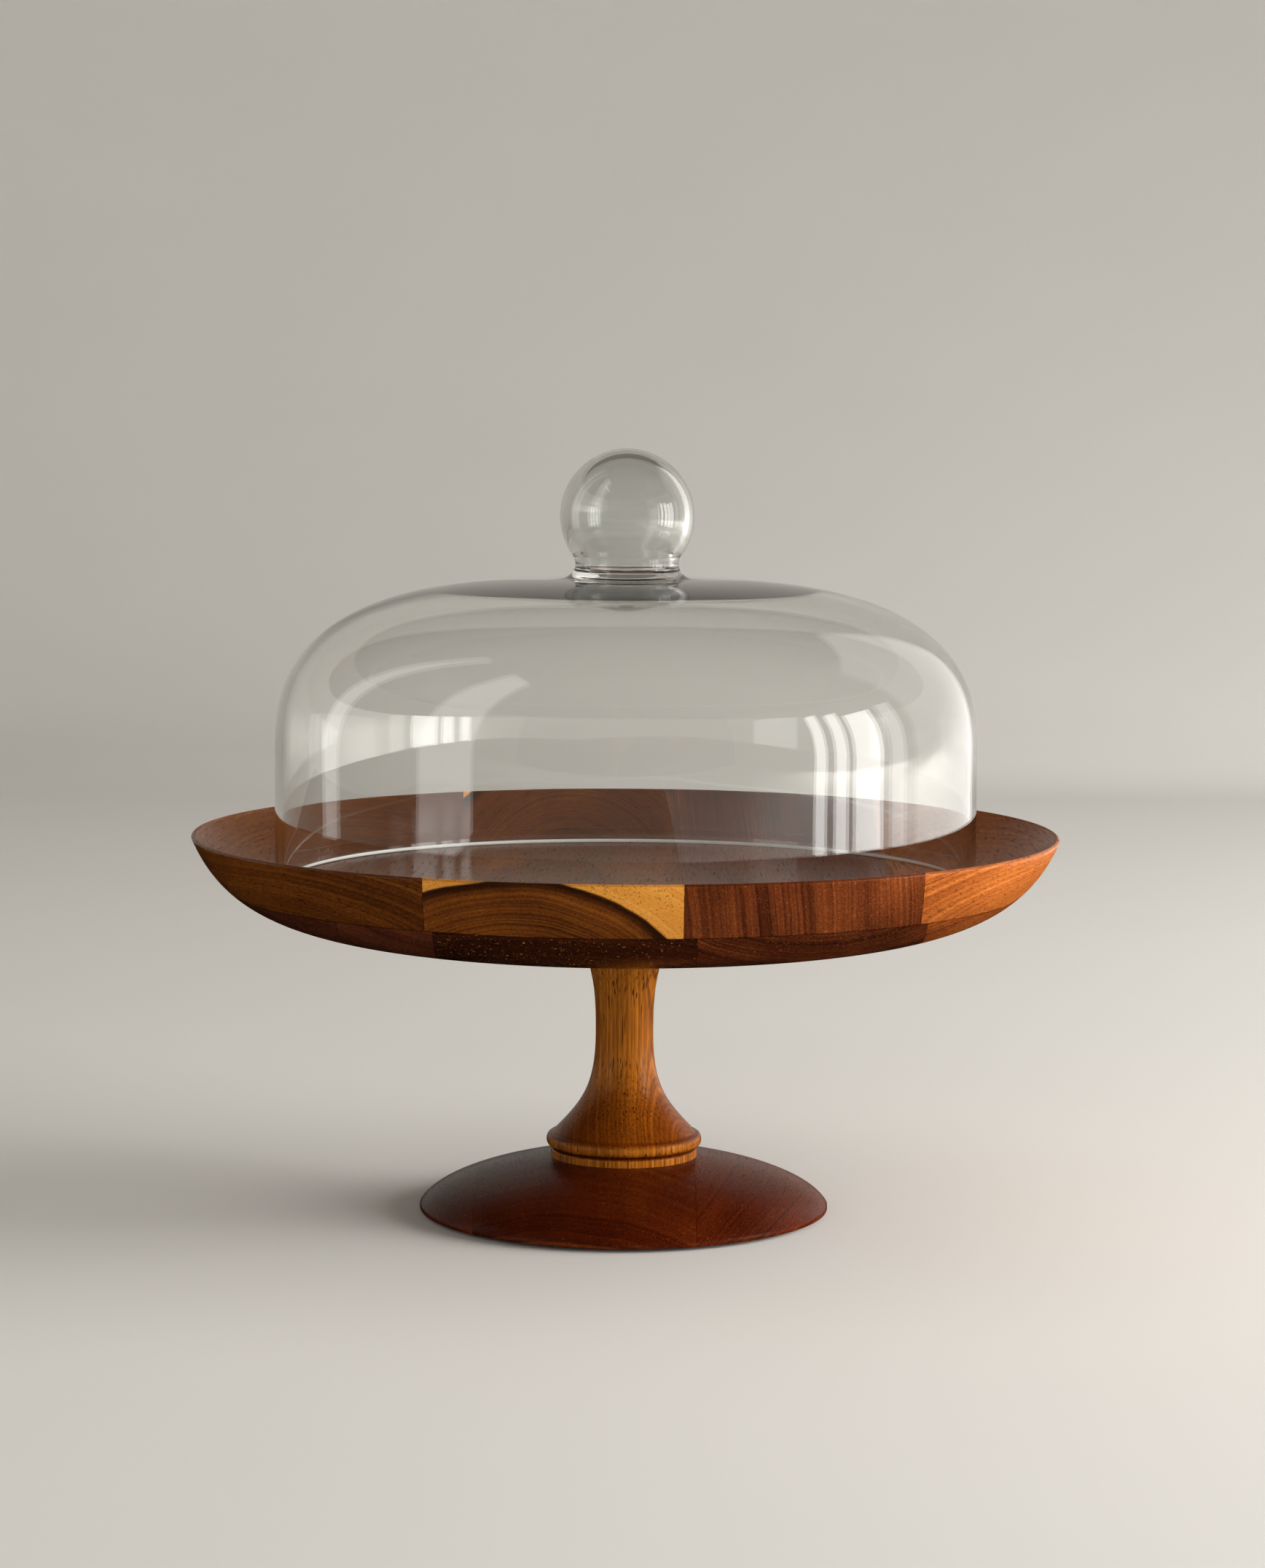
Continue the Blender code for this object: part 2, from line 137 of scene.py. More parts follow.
def seamsOf(stem, count):  # where neighbouring boards meet
    boxes = [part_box(f"{stem}_{i + 1}") for i in range(count)]
    inner = [(boxes[i][1].x + boxes[i + 1][0].x) / 2 for i in range(count - 1)]
    return [None, *inner, None]


# how materials are mixed

def tint(red, green, blue):  # 0 to 255, as a paint box shows it
    values = [c / 255 for c in (red, green, blue)]
    return (*[v / 12.92 if v <= 0.04045 else ((v + 0.055) / 1.055) ** 2.4 for v in values], 1)


def addNode(tree, kind, feeds, **settings):
    node = tree.nodes.new(kind)
    for key, value in settings.items():
        setattr(node, key, value)
    for socket, value in feeds.items():
        if isinstance(value, bpy.types.NodeSocket):
            tree.links.new(value, node.inputs[socket])
        else:
            node.inputs[socket].default_value = value
    return node


def maths(tree, operation, first, second=0.0, clamp=False):
    node = addNode(tree, "ShaderNodeMath", {0: first, 1: second}, operation=operation, use_clamp=clamp)
    return node.outputs[0]


def fade(tree, value, low, high, toLow=0.0, toHigh=1.0):  # a soft step between two values
    feeds = {"Value": value, "From Min": low, "From Max": high, "To Min": toLow, "To Max": toHigh}
    node = addNode(tree, "ShaderNodeMapRange", feeds, interpolation_type="SMOOTHSTEP")
    return node.outputs["Result"]


def blendTints(tree, how, amount, under, over):
    node = addNode(
        tree, "ShaderNodeMix", {0: amount, 6: under, 7: over}, data_type="RGBA", blend_type=how
    )
    return node.outputs[2]


def ramp(tree, value, stops):
    node = addNode(tree, "ShaderNodeValToRGB", {"Fac": value})
    colours = node.color_ramp.elements
    while len(colours) < len(stops):
        colours.new(0.5)
    for element, (place, colour) in zip(colours, stops):
        element.position = place
        element.color = colour
    return node.outputs["Color"]


def grainNoise(tree, place, across, along, detail=2.0, roughness=0.5):  # drawn out along local Y
    drawn = addNode(
        tree, "ShaderNodeVectorMath", {0: place, 1: (across, along, across)}, operation="MULTIPLY"
    )
    feeds = {"Vector": drawn.outputs[0], "Scale": 1.0, "Detail": detail, "Roughness": roughness}
    return addNode(tree, "ShaderNodeTexNoise", feeds)


def noiseOf(tree, coords, scale, detail):  # plain noise on the piece's own places
    feeds = {"Vector": coords.outputs["Object"], "Scale": scale, "Detail": detail}
    return addNode(tree, "ShaderNodeTexNoise", feeds).outputs[0]


# wood

woodFinish = {
    "frontY": -0.15,  # where the pith positions below are measured
    "ringWander": 0.0019,  # how far growth rings stray from round
    "faceContrast": 0.40,  # rings show less on faces than on ends
    "hollowContrast": 0.35,  # and less again on what faces up
    "poreShare": 0.5,
    "fleckShare": 0.2,
    "endTint": (0.90, 0.88, 0.86),
    # painted shade: the tint for faces that look up
    "upShadeTint": (0.72, 0.66, 0.62),
    "seamWidth": 0.00024,
    "layerSeam": 0.00045,
    "roughness": 0.30,
    "specular": 0.15,
    "varnishTint": (1.0, 0.70, 0.44),
    "coat": 0.06,
    "coatRoughness": 0.13,
    "bump": 0.16,
}

# grain is (across, along, detail, roughness), lines are (scale, detail, roughness), and a range
# is where a pattern starts and ends
figure = {
    "wander": (26.0, 4.0, 3.0),
    "bands": (1.9, 5.0, 0.8),  # soft bands, in ring widths
    "bandRange": (0.20, 0.80),
    "lines": (7.1, 2.0, 0.55),  # thin dark lines
    "lineRange": (0.52, 0.72),
    "fineRings": (900.0, 2.0, 0.6),
    "clouds": (34.0, 8.0, 3.0),
    "patches": (14.0, 5.0, 2.0),  # where the thin dark lines show
    "patchRange": (0.35, 0.60),
    "fibres": (1500.0, 70.0, 2.0, 0.62),
    "pores": (1900.0, 60.0, 0.0),
    "poreRange": (0.65, 0.76),
    "flecks": (2300.0, 240.0, 0.0),
    "fleckRange": (0.71, 0.82),
    "endRange": (0.1, 0.8),
    "endDarkeningRange": (0.15, 0.95),
    "upRange": (0.0, 0.5),
    "swing": {"start": -0.20, "bands": 0.40, "lines": 0.20},
    "depth": {"start": -0.15, "fine": 0.34, "clouds": 0.46, "fibres": 0.40},
    "sapDepth": {"start": -0.28, "bands": 0.25, "fine": 0.35, "clouds": 0.4, "fibres": 0.5},
    "heartStops": (0.14, 0.38, 0.60, 0.84),
    "sapStops": (0.1, 0.45, 0.9),
    "sapWaver": 0.0024,
    "sapEdge": 0.0012,
    "sapBlend": 0.0008,
    "lastRing": (0.0042, 0.0008),  # the dark last ring, inside the sapwood's edge
    "lastRingDark": 0.28,
    "glueCore": 0.00005,
    "glueTone": 0.45,
    "gloss": {"start": -0.06, "fibres": 0.12, "pores": 0.12},
    "fibreRelief": 0.35,
    "reliefDepth": 0.0002,
}

heartwoods = {
    "olive": ((150, 92, 30), (112, 60, 16), (76, 37, 9), (44, 20, 6)),
    "amber": ((160, 94, 28), (122, 66, 18), (84, 42, 12), (46, 22, 8)),
    "red": ((172, 92, 42), (116, 56, 24), (74, 32, 14), (44, 18, 9)),
    # lighter orange: partly the wood's own tone, partly painted window light on the right-hand boards
    "orangeAndWindowLight": ((222, 138, 62), (184, 102, 42), (138, 68, 26), (86, 39, 15)),
    "dark": ((88, 42, 20), (62, 28, 13), (44, 19, 9), (28, 12, 6)),
    "plum": ((116, 60, 34), (88, 43, 25), (66, 31, 18), (44, 20, 12)),
    "mahogany": ((140, 70, 28), (98, 38, 12), (64, 18, 5), (38, 11, 4)),
    "honey": ((230, 152, 52), (192, 116, 32), (138, 76, 18), (72, 38, 10)),
}
sapwood = ((250, 188, 92), (236, 160, 66), (196, 122, 44))
poreTint = (30, 14, 8)
fleckTint = (222, 138, 60)


def placeLog(tree, coords, board):  # puts the heart of the log on local Y
    upright = board.get("upright", False)
    pithX, pithZ = board["pith"]
    oval = board.get("oval", 1.0)  # below 1 the rings are wider than they are tall
    pitch, yaw = board.get("lean", (0.0, 0.0))
    front = 0.0 if upright else woodFinish["frontY"]
    turn = (radians(-90), 0, 0) if upright else (0, 0, 0)
    stood = addNode(
        tree, "ShaderNodeMapping", {"Vector": coords.outputs["Object"], "Rotation": turn}
    )
    shift = (-pithX * oval + front * sin(yaw), 0, -pithZ - front * sin(pitch))
    settings = {
        "Vector": stood.outputs[0],
        "Location": shift,
        "Rotation": (pitch, 0, yaw),
        "Scale": (oval, 1, 1),
    }
    return addNode(tree, "ShaderNodeMapping", settings).outputs[0]


def ringRadius(tree, log, stray):
    wander = grainNoise(tree, log, *figure["wander"])
    strayed = addNode(
        tree,
        "ShaderNodeVectorMath",
        {0: wander.outputs["Color"], 1: (0.5, 0.5, 0.5)},
        operation="SUBTRACT",
    )
    pushed = addNode(
        tree,
        "ShaderNodeVectorMath",
        {0: strayed.outputs[0], 1: (stray * 2, 0, stray * 2), 2: log},
        operation="MULTIPLY_ADD",
    )
    flat = addNode(
        tree, "ShaderNodeVectorMath", {0: pushed.outputs[0], 1: (1, 0, 1)}, operation="MULTIPLY"
    )
    radius = addNode(tree, "ShaderNodeVectorMath", {0: flat.outputs[0]}, operation="LENGTH")
    return radius.outputs["Value"]


def lineNoise(tree, value, scale, detail=2.0, roughness=0.55):  # noise along one number
    feeds = {"W": value, "Scale": scale, "Detail": detail, "Roughness": roughness}
    return addNode(tree, "ShaderNodeTexNoise", feeds, noise_dimensions="1D").outputs[0]


def weigh(tree, weights, patterns, extra=0.0):  # adds patterns up by their weights
    total = weights["start"] + extra
    for name, weight in weights.items():
        if name != "start":
            total = maths(tree, "ADD", maths(tree, "MULTIPLY", patterns[name], weight), total)
    return total


def woodMaterial(name, board, seams=(), glueHeight=None):
    material = bpy.data.materials.new(name)
    material.use_nodes = True
    tree = material.node_tree
    shader = tree.nodes["Principled BSDF"]
    coords = addNode(tree, "ShaderNodeTexCoord", {})
    log = placeLog(tree, coords, board)

    # growth rings: soft uneven bands, a thin dark line here and there, and fine lines between
    radius = ringRadius(tree, log, board.get("wander", woodFinish["ringWander"]))
    years = maths(tree, "DIVIDE", radius, board["ringWidth"])
    bands = fade(tree, lineNoise(tree, years, *figure["bands"]), *figure["bandRange"])
    lines = fade(tree, lineNoise(tree, years, *figure["lines"]), *figure["lineRange"])
    fine = lineNoise(tree, radius, *figure["fineRings"])
    clouds = grainNoise(tree, log, *figure["clouds"]).outputs[0]
    patches = grainNoise(tree, log, *figure["patches"]).outputs[0]
    lines = maths(tree, "MULTIPLY", lines, fade(tree, patches, *figure["patchRange"]))
    fibres = grainNoise(tree, log, *figure["fibres"]).outputs[0]
    facing = addNode(tree, "ShaderNodeSeparateXYZ", {0: coords.outputs["Normal"]})
    endwise = maths(tree, "ABSOLUTE", facing.outputs["Z" if board.get("upright") else "Y"])
    contrast = board.get("contrast", 1.0)
    quiet = contrast * woodFinish["faceContrast"]
    strength = fade(tree, endwise, *figure["endRange"], quiet, contrast)
    rubbed = fade(tree, facing.outputs["Z"], *figure["upRange"], 1.0, woodFinish["hollowContrast"])
    strength = maths(tree, "MULTIPLY", strength, rubbed)
    patterns = {"bands": bands, "lines": lines, "fine": fine, "clouds": clouds, "fibres": fibres}
    swing = maths(tree, "MULTIPLY", weigh(tree, figure["swing"], patterns), strength)
    depth = weigh(tree, figure["depth"], patterns, board.get("darker", 0.0))
    depth = maths(tree, "ADD", depth, swing)
    stops = figure["heartStops"]
    heart = [tint(*colour) for colour in heartwoods[board["heart"]]]
    if "sapFrom" in board:  # heartwood darkens just before the sapwood
        edge = maths(tree, "ADD", radius, maths(tree, "MULTIPLY", clouds, figure["sapWaver"]))
        start = board["sapFrom"] + figure["sapEdge"]
        lastRing = fade(tree, edge, *[start - reach for reach in figure["lastRing"]])
        lastRing = maths(tree, "MULTIPLY", lastRing, figure["lastRingDark"])
        depth = maths(tree, "ADD", depth, lastRing)
        colour = ramp(tree, depth, list(zip(stops, heart)))
        sapDepth = weigh(tree, figure["sapDepth"], patterns)
        sapColours = [tint(*shade) for shade in sapwood]
        sap = ramp(tree, sapDepth, list(zip(figure["sapStops"], sapColours)))
        outside = fade(tree, edge, start, start + figure["sapBlend"])
        colour = blendTints(tree, "MIX", outside, colour, sap)
    else:
        colour = ramp(tree, depth, list(zip(stops, heart)))

    # open pores: streaks along the board, dots on its ends, and a few bright resin flecks
    pores = grainNoise(tree, log, *figure["pores"]).outputs[0]
    pores = fade(tree, pores, *figure["poreRange"])
    poreShare = maths(tree, "MULTIPLY", pores, board.get("pores", woodFinish["poreShare"]))
    colour = blendTints(tree, "MIX", poreShare, colour, tint(*board.get("poreTint", poreTint)))
    flecks = grainNoise(tree, log, *figure["flecks"]).outputs[0]
    flecks = fade(tree, flecks, *figure["fleckRange"])
    flecks = maths(tree, "MULTIPLY", flecks, board.get("flecks", woodFinish["fleckShare"]))
    colour = blendTints(tree, "MIX", flecks, colour, tint(*fleckTint))

    # painted shade: faces that look up are coloured darker
    dull = fade(tree, facing.outputs["Z"], *figure["upRange"])
    colour = blendTints(tree, "MULTIPLY", dull, colour, (*woodFinish["upShadeTint"], 1))

    # ends drink more oil than faces, so they are darker; on the stem the stronger end tint also paints
    # shade on the flare
    endDarkening = fade(tree, endwise, *figure["endDarkeningRange"])
    endTint = (*board.get("endTint", woodFinish["endTint"]), 1)
    colour = blendTints(tree, "MULTIPLY", endDarkening, colour, endTint)

    # glue lines
    spot = addNode(tree, "ShaderNodeSeparateXYZ", {0: coords.outputs["Object"]})
    joints = [(spot.outputs["X"], seam, woodFinish["seamWidth"]) for seam in seams if seam is not None]
    if glueHeight is not None:
        joints.append((spot.outputs["Z"], glueHeight, woodFinish["layerSeam"]))
    for axis, seam, width in joints:
        away = maths(tree, "ABSOLUTE", maths(tree, "SUBTRACT", axis, seam))
        clear = fade(tree, away, figure["glueCore"], width, figure["glueTone"], 1.0)
        colour = blendTints(tree, "MULTIPLY", 1.0, colour, clear)
    tree.links.new(colour, shader.inputs["Base Color"])

    patterns["pores"] = pores
    gloss = weigh(tree, figure["gloss"], patterns, woodFinish["roughness"])
    tree.links.new(gloss, shader.inputs["Roughness"])
    relief = maths(tree, "MULTIPLY", fibres, figure["fibreRelief"])
    relief = maths(tree, "SUBTRACT", relief, pores)
    feeds = {"Height": relief, "Strength": woodFinish["bump"], "Distance": figure["reliefDepth"]}
    bump = addNode(tree, "ShaderNodeBump", feeds)
    tree.links.new(bump.outputs["Normal"], shader.inputs["Normal"])
    specular = board.get("specular", woodFinish["specular"])
    shader.inputs["Specular IOR Level"].default_value = specular
    shader.inputs["Specular Tint"].default_value = (*woodFinish["varnishTint"], 1)
    shader.inputs["Coat Weight"].default_value = board.get("coat", woodFinish["coat"])
    shader.inputs["Coat Roughness"].default_value = woodFinish["coatRoughness"]
    return material


# the dish: two layers of boards, glued and turned together

upperLow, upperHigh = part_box("dish_upper_board_2")
lowerLow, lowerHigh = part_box("dish_lower_board_3")
dish = {
    "radius": -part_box("dish_upper_board_1")[0].x,
    "rimTop": upperHigh.z,
    "underside": lowerLow.z,
    "glueHeight": (lowerHigh.z + upperLow.z) / 2,
    "floorDrop": 0.0192,  # from the rim to the flat floor
    "floorRadius": 0.1370,
    "coveWidth": 0.0270,
    "covePower": 1.8,
    "lip": 0.0010,
    "bellyOut": 0.0089,
    "bellyIn": 0.0269,
    "bellyWidth": 0.0770,
    "bellyHang": 0.44,
    "bellyFlat": 0.01,
    "bellySteps": 56,
    "floorSteps": 8,
    "coveSteps": 30,
    "lipSteps": 8,
    "innerRings": (0.066, 0.044, 0.022),  # radii across the underside
    "steps": 200,
}
upperBoards = [
    {
        "pith": (-0.125, 0.110),
        "oval": 0.45,
        "ringWidth": 0.0090,
        "heart": "olive",
        "contrast": 0.7,
        "flecks": 0.12,
    },
    {
        "pith": (-0.0375, 0.0929),
        "oval": 0.85,
        "lean": (-0.040, 0.038),
        "ringWidth": 0.0076,
        "heart": "amber",
        "contrast": 0.85,
        "sapFrom": 0.0555,
        "flecks": 0.10,
    },
    {"pith": (-0.260, 0.105), "ringWidth": 0.0240, "heart": "red", "contrast": 0.9, "flecks": 0.30},
    # right-hand board: its light orange palette partly paints the window's light
    {"pith": (0.165, 0.112), "oval": 0.45, "ringWidth": 0.0100, "heart": "orangeAndWindowLight", "contrast": 0.7},
]
lowerBoards = [
    {"pith": (-0.160, 0.060), "oval": 0.5, "ringWidth": 0.0120, "heart": "plum", "flecks": 0.10},
    {"pith": (-0.050, 0.210), "ringWidth": 0.0130, "heart": "plum", "darker": -0.08, "flecks": 0.10},
    {"pith": (-0.030, 0.060), "oval": 0.5, "ringWidth": 0.0100, "heart": "dark", "flecks": 0.6},
    {"pith": (0.070, 0.210), "ringWidth": 0.0110, "heart": "red", "darker": 0.12, "flecks": 0.4},
    # right-hand board: its light orange palette partly paints the window's light
    {"pith": (0.190, 0.060), "oval": 0.5, "ringWidth": 0.0090, "heart": "orangeAndWindowLight", "darker": 0.15},
]


def bellyLine():
    height = dish["rimTop"] - dish["lip"] - dish["underside"]
    start = (dish["radius"], dish["rimTop"] - dish["lip"])
    leave = (dish["radius"] - dish["bellyOut"], dish["underside"] + dish["bellyHang"] * height)
    arrive = (dish["radius"] - dish["bellyIn"], dish["underside"] + dish["bellyFlat"] * height)
    end = (dish["radius"] - dish["bellyWidth"], dish["underside"])
    return [start] + curveBetween(start, leave, arrive, end, dish["bellySteps"])


def upperOutline():
    floor = dish["rimTop"] - dish["floorDrop"]
    rings = dish["floorSteps"]
    points = [(dish["floorRadius"] * i / rings, floor) for i in range(rings)]
    for i in range(dish["coveSteps"] + 1):
        share = i / dish["coveSteps"]
        rise = (dish["floorDrop"] - dish["lip"] / 3) * share ** dish["covePower"]
        points.append((dish["floorRadius"] + dish["coveWidth"] * share, floor + rise))
    lip = (dish["radius"] - dish["lip"], dish["rimTop"] - dish["lip"])
    points += arcRound(lip, dish["lip"], 90, 0, dish["lipSteps"])[:-1]
    above = cutAtHeight(bellyLine(), dish["glueHeight"])[0]
    return points + above + [(0.0, dish["glueHeight"])]


def lowerOutline():
    below = cutAtHeight(bellyLine(), dish["glueHeight"])[1]
    middle = [(radius, dish["underside"]) for radius in dish["innerRings"]]
    return [(0.0, dish["glueHeight"]), *below, *middle, (0.0, dish["underside"])]


def makeLayer(name, nodeStem, outline, boards):
    seams = seamsOf(nodeStem, len(boards))
    for i, board in enumerate(boards):
        piece = turnOnLathe(f"{name}{i + 1}", outline, dish["steps"])
        sawBoard(piece, seams[i], seams[i + 1])
        material = woodMaterial(f"{name}Wood{i + 1}", board, seams[i : i + 2], dish["glueHeight"])
        finishPiece(piece, "stand", [f"{nodeStem}_{i + 1}"], material)


makeLayer("upperBoard", "dish_upper_board", upperOutline(), upperBoards)
makeLayer("lowerBoard", "dish_lower_board", lowerOutline(), lowerBoards)
print("dish turned and sawn into boards")


# the foot

footLow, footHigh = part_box("foot_board_2")
foot = {
    "radius": -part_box("foot_board_1")[0].x,
    "underside": footLow.z,
    "top": footHigh.z,
    "collar": 0.0281,
    "edge": 0.0016,
    "edgeRound": 0.0003,
    "shoulder": 0.0072,
    "shoulderRise": 0.0127,
    "holeRadius": 0.0064,  # mouth of the countersink
    "holeSink": 0.0012,
    "shankRadius": 0.0033,
    "holeTop": 0.0046,
    "innerRings": (0.055, 0.030),  # radii across the underside
    "domeSteps": 44,
    "edgeSteps": 4,
    "steps": 180,
}
oiled = {"specular": 0.08, "coat": 0.02}  # the foot is less shiny
footBoards = [
    {
        "pith": (-0.160, -0.060),
        "ringWidth": 0.0160,
        "heart": "mahogany",
        "lean": (0.12, 0.10),
        **oiled,
    },
    {
        "pith": (-0.030, -0.090),
        "ringWidth": 0.0150,
        "heart": "mahogany",
        "lean": (0.10, 0.12),
        "flecks": 0.20,
        **oiled,
    },
    {
        "pith": (0.110, -0.060),
        "ringWidth": 0.0160,
        "heart": "mahogany",
        "lean": (0.10, -0.06),
        **oiled,
    },
]


def footOutline():
    top = (foot["collar"], foot["top"])
    turn = (foot["radius"] - foot["shoulder"], foot["underside"] + foot["shoulderRise"])
    edge = (foot["radius"], foot["underside"] + foot["edge"])
    leave = tuple(top[k] + (turn[k] - top[k]) * 2 / 3 for k in (0, 1))
    arrive = tuple(edge[k] + (turn[k] - edge[k]) * 2 / 3 for k in (0, 1))
    centre = (foot["radius"] - foot["edgeRound"], foot["underside"] + foot["edgeRound"])
    return [
        (0.0, foot["top"]),
        (foot["collar"] / 2, foot["top"]),
        top,
        *curveBetween(top, leave, arrive, edge, foot["domeSteps"]),
        *arcRound(centre, foot["edgeRound"], 0, -90, foot["edgeSteps"]),
        *[(radius, foot["underside"]) for radius in foot["innerRings"]],
        (foot["holeRadius"], foot["underside"]),
        (foot["holeRadius"], foot["underside"] + foot["holeSink"]),
        (foot["shankRadius"], foot["underside"] + foot["holeTop"]),
        (0.0, foot["underside"] + foot["holeTop"]),
    ]


footSeams = seamsOf("foot_board", len(footBoards))
for i, board in enumerate(footBoards):
    piece = turnOnLathe(f"footBoard{i + 1}", footOutline(), foot["steps"])
    sawBoard(piece, footSeams[i], footSeams[i + 1])
    material = woodMaterial(f"footWood{i + 1}", board, footSeams[i : i + 2])
    finishPiece(piece, "stand", [f"foot_board_{i + 1}"], material)
print("foot turned")


# the stem, between foot and dish

glueGap = 0.0003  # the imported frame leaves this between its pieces
stem = {
    "bottom": foot["top"],
    "top": dish["underside"],
    "foot": foot["top"] + glueGap,  # heights below are from here
    "head": dish["underside"] - glueGap,
    "collar": 0.0281,
    "collarHeight": 0.0028,
    "collarRound": 0.0009,
    "grooveDepth": 0.0018,
    "grooveHeight": 0.0008,
    "bead": 0.0298,
    "beadHeight": 0.0050,
    "flareDrop": 0.0022,
    "waist": 0.01105,
    "waistHeight": 0.0471,
    "neck": 0.0189,
    "neckPull": 0.0142,
    "waistPull": 0.0137,
    "flarePull": 0.0213,
    "flareSpread": 0.0113,
    "flareBend": 0.0057,
    "neckBend": 0.0003,
    "smoothBelow": 50,
    "neckSteps": 36,
    "flareSteps": 44,
    "beadSteps": 16,
    "collarSteps": 7,
    "steps": 144,
}
stemWood = {
    "pith": (0.048, 0.020),
    "ringWidth": 0.0100,
    "contrast": 0.9,
    "darker": 0.05,
    # partly end grain, partly painted shade: darkens and reddens the flare's sloping faces
    "endTint": (0.56, 0.40, 0.32),
    "heart": "honey",
    "upright": True,
    "wander": 0.0016,
    "flecks": 0.10,
    "pores": 0.9,
    "poreTint": (58, 30, 14),
}


def stemOutline():
    collarTop = stem["foot"] + stem["collarHeight"]
    beadTop = collarTop + stem["grooveHeight"] + stem["beadHeight"]
    waist = (stem["waist"], stem["foot"] + stem["waistHeight"])
    neck = (stem["neck"], stem["head"])
    flareEnd = (stem["bead"] - stem["flareDrop"], beadTop)
    points = [(0.0, stem["top"]), (stem["neck"], stem["top"]), neck]
    points += curveBetween(
        neck,
        (stem["waist"] + stem["neckBend"], stem["head"] - stem["neckPull"]),
        (stem["waist"], waist[1] + stem["waistPull"]),
        waist,
        stem["neckSteps"],
    )
    points += curveBetween(
        waist,
        (stem["waist"], waist[1] - stem["flarePull"]),
        (stem["waist"] + stem["flareBend"], beadTop + stem["flareSpread"]),
        flareEnd,
        stem["flareSteps"],
    )
    beadMiddle = beadTop - stem["beadHeight"] / 2
    for i in range(1, stem["beadSteps"] + 1):
        angle = pi / 2 - pi * i / stem["beadSteps"]
        across = stem["bead"] - stem["grooveDepth"] * (1 - cos(angle))
        points.append((across, beadMiddle + stem["beadHeight"] / 2 * sin(angle)))
    points.append((stem["bead"] - 2 * stem["grooveDepth"], collarTop + stem["grooveHeight"] / 2))
    centre = (stem["collar"] - stem["collarRound"], collarTop - stem["collarRound"])
    points += arcRound(centre, stem["collarRound"], 90, 0, stem["collarSteps"])
    return points + [(stem["collar"], stem["bottom"]), (0.0, stem["bottom"])]


stemPiece = turnOnLathe("turnedStem", stemOutline(), stem["steps"])
stemMaterial = woodMaterial("stemWood", stemWood)
finishPiece(stemPiece, "stand", ["stem"], stemMaterial, stem["smoothBelow"])
print("stem turned")


# the glass: bell and knob blown as one

domeLow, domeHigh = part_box("glass_dome")
knobLow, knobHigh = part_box("ball_knob")
dome = {
    "radius": domeHigh.x,
    "bottom": domeLow.z - 0.0002,
    "crownTop": domeHigh.z,
    "wall": 0.0030,
    "crownRise": 0.0680,
    "crownThickness": 0.0060,
    "widePower": 3.13,
    "highPower": 2.71,
    "thickFrom": 0.075,  # the crown thickens from here to the second radius
    "thickTo": 0.030,
    "lensRadius": 0.0240,
    "lensDepth": 0.0038,
    "lensSpread": 1.2,  # shares of its radius, to its last point and to the next one
    "lensClear": 1.22,
    "rimRound": 0.0012,
    "groundEdge": 0.0012,
    "crownSteps": 90,
    "lensSteps": 36,
    "wallSteps": 6,
    "rimSteps": 7,
    "smoothBelow": 50,
    "steps": 240,
}
knob = {
    "radius": knobHigh.x,
    "centre": knobHigh.z - knobHigh.x,
    "wall": 0.0034,
    "leaveAngle": -35.5,  # degrees below level
    "neck": 0.0205,
    "flare": 0.0228,
    "turnIn": 0.0016,
    "weld": 0.0008,  # round of the join on the crown
    "hollowFoot": 0.0165,
    "hollowFloor": 0.0012,  # above the crown
    "hollowCorner": 0.003,
    "hollowNeck": 0.001,
    "hollowDip": 0.0004,  # the hollow's floor sinks to its middle
    "hollowLean": 4,  # degrees past the outside's
    "bendSteps": 10,
    "cornerSteps": 8,
    "ballSteps": 44,
    "neckSteps": 18,
    "steps": 120,
}
glassFinish = {
    "wall": (0.985, 0.992, 0.985, 1),
    "knob": (0.86, 0.875, 0.86, 1),
    "knobFade": (-0.004, 0.008),  # heights above the crown
    "lampPath": (0.93, 0.95, 0.94, 1),
    "ior": 1.5,
    "frost": 0.5,
    "groundClear": 0.45,
    "groundFade": 0.0003,
    "ripples": 11.0,
    "rippleHeight": 0.25,
    "rippleDepth": 0.002,
}


def crownHeight(across):
    share = 1 - (across / dome["radius"]) ** dome["widePower"]
    bottom = dome["crownTop"] - dome["crownRise"]
    return bottom + dome["crownRise"] * max(share, 0.0) ** (1 / dome["highPower"])


def crownLine(count):
    points = []
    for i in range(count):
        across = dome["radius"] * sin(pi / 2 * i / count) ** (2 / dome["widePower"])
        points.append((across, crownHeight(across)))
    return points + [(dome["radius"], dome["crownTop"] - dome["crownRise"])]


def glassThickness(across):
    share = (dome["thickFrom"] - across) / (dome["thickFrom"] - dome["thickTo"])
    share = min(max(share, 0.0), 1.0)
    extra = dome["crownThickness"] - dome["wall"]
    return dome["wall"] + extra * share * share * (3 - 2 * share)


def innerLine(crown):  # the wall's inside, one thickness in from the outside
    points = []
    for i in range(dome["lensSteps"]):
        across = dome["lensRadius"] * dome["lensSpread"] * i / dome["lensSteps"]
        share = min(across / dome["lensRadius"], 1.0)
        lens = dome["lensDepth"] * (1 + cos(pi * share)) / 2
        points.append((across, crownHeight(across) - glassThickness(across) - lens))
    for before, here, after in zip(crown, crown[1:], crown[2:]):
        run, fall = after[0] - before[0], before[1] - after[1]
        length = hypot(run, fall)
        thick = glassThickness(here[0])
        point = (here[0] - fall / length * thick, here[1] - run / length * thick)
        if point[0] > dome["lensRadius"] * dome["lensClear"]:
            points.append(point)
    return points


